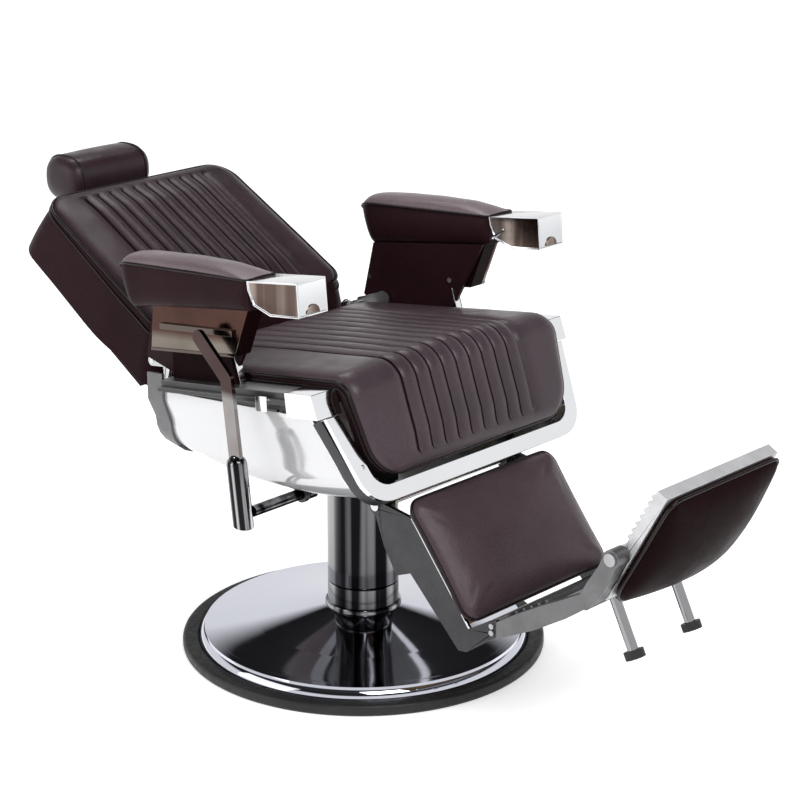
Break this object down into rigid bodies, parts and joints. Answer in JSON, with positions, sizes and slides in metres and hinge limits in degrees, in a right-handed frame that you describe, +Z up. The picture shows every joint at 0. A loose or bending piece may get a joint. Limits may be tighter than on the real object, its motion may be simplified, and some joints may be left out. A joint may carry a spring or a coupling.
{
  "type": "hydraulic barber chair",
  "caption": "Reclining hydraulic barber chair on a round chrome base, with channelled seat and back, padded arms, headrest, side pump lever, calf rest and flip footrest.",
  "frame": {"origin": "centre of the round base on the floor", "axes": "+Z up along the column, the sitter faces -Y, the sitter's right is -X"},
  "size_m": [0.716, 1.5962, 0.8369],
  "materials": {
    "rubber": "black moulded rubber",
    "chrome": "bright chrome plate",
    "dark_chrome": "chrome plate, dark reflections",
    "polished": "polished flat bar",
    "white_shell": "glossy white shell",
    "leather": "dark oxblood brown upholstery leather, satin",
    "black_steel": "black painted steel",
    "zinc": "zinc plated steel",
    "plywood": "birch plywood",
    "cast": "polished cast aluminium"
  },
  "bodies": {
    "base": {"base_plate": "black_steel", "base_ring": "rubber", "base_dome": "chrome", "base_bolts": "zinc", "column_collar": "dark_chrome", "pump_cylinder": "black_steel", "gland_nut": "zinc"},
    "lift": {"piston": "black_steel", "piston_rod": "chrome"},
    "seat": {"swivel_hub": "black_steel", "column_shroud": "dark_chrome", "seat_frame": "black_steel", "calf_hinge_shaft": "zinc", "tub_shell": "white_shell", "front_frame": "polished", "rear_frame": "polished", "side_rail_l": "polished", "side_rail_r": "polished", "rail_cap_l": "polished", "rail_cap_r": "polished", "shell_brackets": "zinc", "seat_board": "plywood", "seat_cushion": "leather", "arm_box_l": "chrome", "arm_box_r": "chrome", "arm_core_l": "plywood", "arm_core_r": "plywood", "arm_pad_l": "leather", "arm_pad_r": "leather", "arm_panel_l": "chrome", "arm_panel_r": "chrome", "trim_bar_l": "polished", "trim_bar_r": "polished", "inner_panel_l": "leather", "inner_panel_r": "leather", "panel_screws": "zinc", "hinge_straps": "chrome", "hinge_pins": "zinc", "lever_bracket": "black_steel"},
    "lever": {"lever_shaft": "dark_chrome", "lever_tube": "chrome", "lever_bar": "chrome"},
    "back": {"back_arms": "zinc", "back_board": "leather", "back_cushion": "leather", "headrest_socket": "black_steel"},
    "headrest": {"headrest_post": "zinc", "headrest_cushion": "leather"},
    "calf": {"calf_plates": "cast", "calf_tubes": "black_steel", "calf_board": "plywood", "calf_pad": "leather", "tray": "cast", "tray_clips": "zinc", "legs": "chrome", "leg_tips": "rubber", "footrest_pins": "zinc"},
    "footrest": {"footrest_frame": "cast", "footrest_pad": "leather"}
  },
  "joints": [
    {"name": "lift_slide", "type": "slide", "parent": "base", "child": "lift", "axis": [0, 0, 1], "range_m": [0, 0.16]},
    {"name": "seat_swivel", "type": "hinge", "parent": "lift", "child": "seat", "pos_m": [0, 0, 0.36], "axis": [0, 0, 1], "continuous": true},
    {"name": "lever_pump", "type": "hinge", "parent": "seat", "child": "lever", "pos_m": [-0.2, -0.06, 0.367], "axis": [1, 0, 0], "range_deg": [-20, 20]},
    {"name": "back_recline", "type": "hinge", "parent": "seat", "child": "back", "pos_m": [0, 0.264, 0.556], "axis": [1, 0, 0], "range_deg": [-8, 46]},
    {"name": "headrest_slide", "type": "slide", "parent": "back", "child": "headrest", "axis": [0, 0.8721, 0.4894], "range_m": [-0.01, 0.08]},
    {"name": "calf_fold", "type": "hinge", "parent": "seat", "child": "calf", "pos_m": [0, -0.206, 0.372], "axis": [1, 0, 0], "range_deg": [-4, 23]},
    {"name": "footrest_flip", "type": "hinge", "parent": "calf", "child": "footrest", "pos_m": [0, -0.717, 0.412], "axis": [1, 0, 0], "range_deg": [-25, 130]}
  ],
  "couplings": [
    {"joint": "calf_fold", "follows": "back_recline", "ratio": 0.5}
  ]
}
